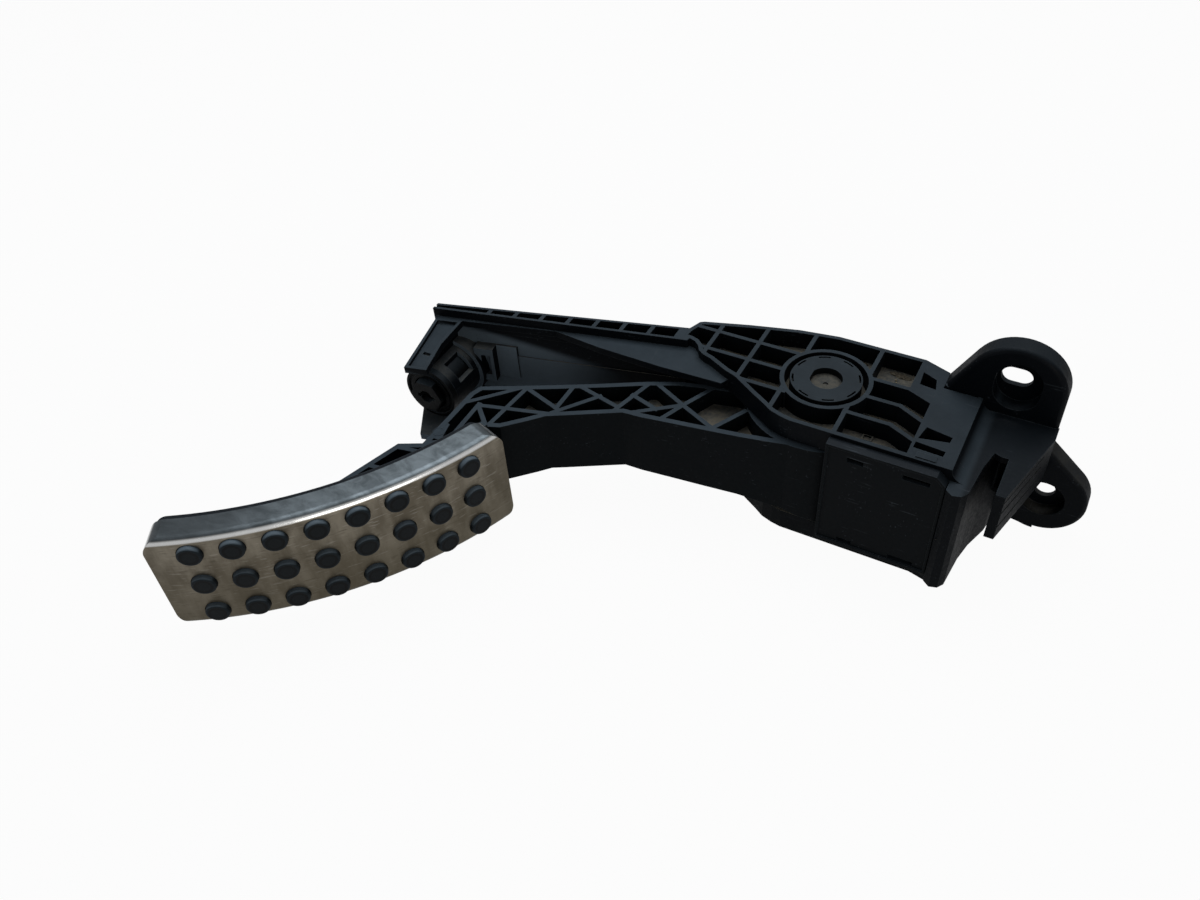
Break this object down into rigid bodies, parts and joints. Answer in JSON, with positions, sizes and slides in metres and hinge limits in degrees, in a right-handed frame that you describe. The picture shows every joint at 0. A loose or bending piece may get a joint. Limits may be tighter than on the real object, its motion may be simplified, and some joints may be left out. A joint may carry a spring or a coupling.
{
  "type": "accelerator pedal module",
  "caption": "Floor-mounted electronic accelerator pedal: ribbed plastic housing with ears and socket, truss arm on a sprung pivot, curved studded pad and kick-down plunger.",
  "frame": {"origin": "on the pivot axis, in the plane of the lower side cheek that the part rests on", "axes": "+Z along the pivot axis, +X from the pivot to the mounting ears, +Y to the wall that the ears bolt to"},
  "size_m": [0.3383, 0.2413, 0.0969],
  "materials": {
    "black_nylon": "glass-filled nylon, fine grain, dusty",
    "cover_nylon": "nylon, scratched",
    "seal_rubber": "matt",
    "board_laminate": "epoxy laminate",
    "chip_epoxy": "moulded epoxy",
    "contact_brass": "bright",
    "pin_steel": "ground",
    "bush_bronze": "sintered",
    "clip_steel": "oiled",
    "cap_nylon": "nylon",
    "arm_nylon": "glass-filled nylon, dusty cells",
    "magnet_ferrite": "sintered",
    "spring_steel": "oiled",
    "shoe_acetal": "smooth",
    "bumper_rubber": "matt",
    "carrier_nylon": "moulded",
    "pad_rubber": "worn smooth on the studs",
    "cover_steel": "scuffed, with grime",
    "can_steel": "dull",
    "kick_cap_nylon": "nylon",
    "plunger_nylon": "nylon"
  },
  "bodies": {
    "housing_body": {"housing": "black_nylon", "sensor_cover": "cover_nylon", "cover_seal": "seal_rubber", "circuit_board": "board_laminate", "sensor_chip_a": "chip_epoxy", "sensor_chip_b": "chip_epoxy", "connector_pins": "contact_brass", "bush_upper": "bush_bronze", "bush_lower": "bush_bronze", "return_spring_outer": "spring_steel", "return_spring_inner": "spring_steel", "friction_shoe": "shoe_acetal", "shoe_spring": "spring_steel", "rest_bumper": "bumper_rubber", "kickdown_body": "can_steel", "kickdown_cap": "kick_cap_nylon", "kickdown_spring": "spring_steel"},
    "pedal_body": {"pedal_arm": "arm_nylon", "pivot_pin": "pin_steel", "retaining_clip": "clip_steel", "pivot_cap": "cap_nylon", "rotor_magnet": "magnet_ferrite", "pad_carrier": "carrier_nylon", "rubber_pad": "pad_rubber", "pad_cover": "cover_steel"},
    "plunger_body": {"kickdown_plunger": "plunger_nylon"}
  },
  "joints": [
    {"name": "pedal_hinge", "type": "hinge", "parent": "housing_body", "child": "pedal_body", "pos_m": [0, 0, 0.034], "axis": [0, 0, 1], "range_deg": [-13.5, 0], "stiffness_Nm_per_rad": 12, "springref_deg": 11.46, "deforming": ["return_spring_outer", "return_spring_inner"]},
    {"name": "kickdown_slide", "type": "slide", "parent": "housing_body", "child": "plunger_body", "axis": [0, 1, 0], "range_m": [0, 0.004], "stiffness_N_per_m": 3000, "springref_m": -0.003, "deforming": ["kickdown_spring"]}
  ]
}
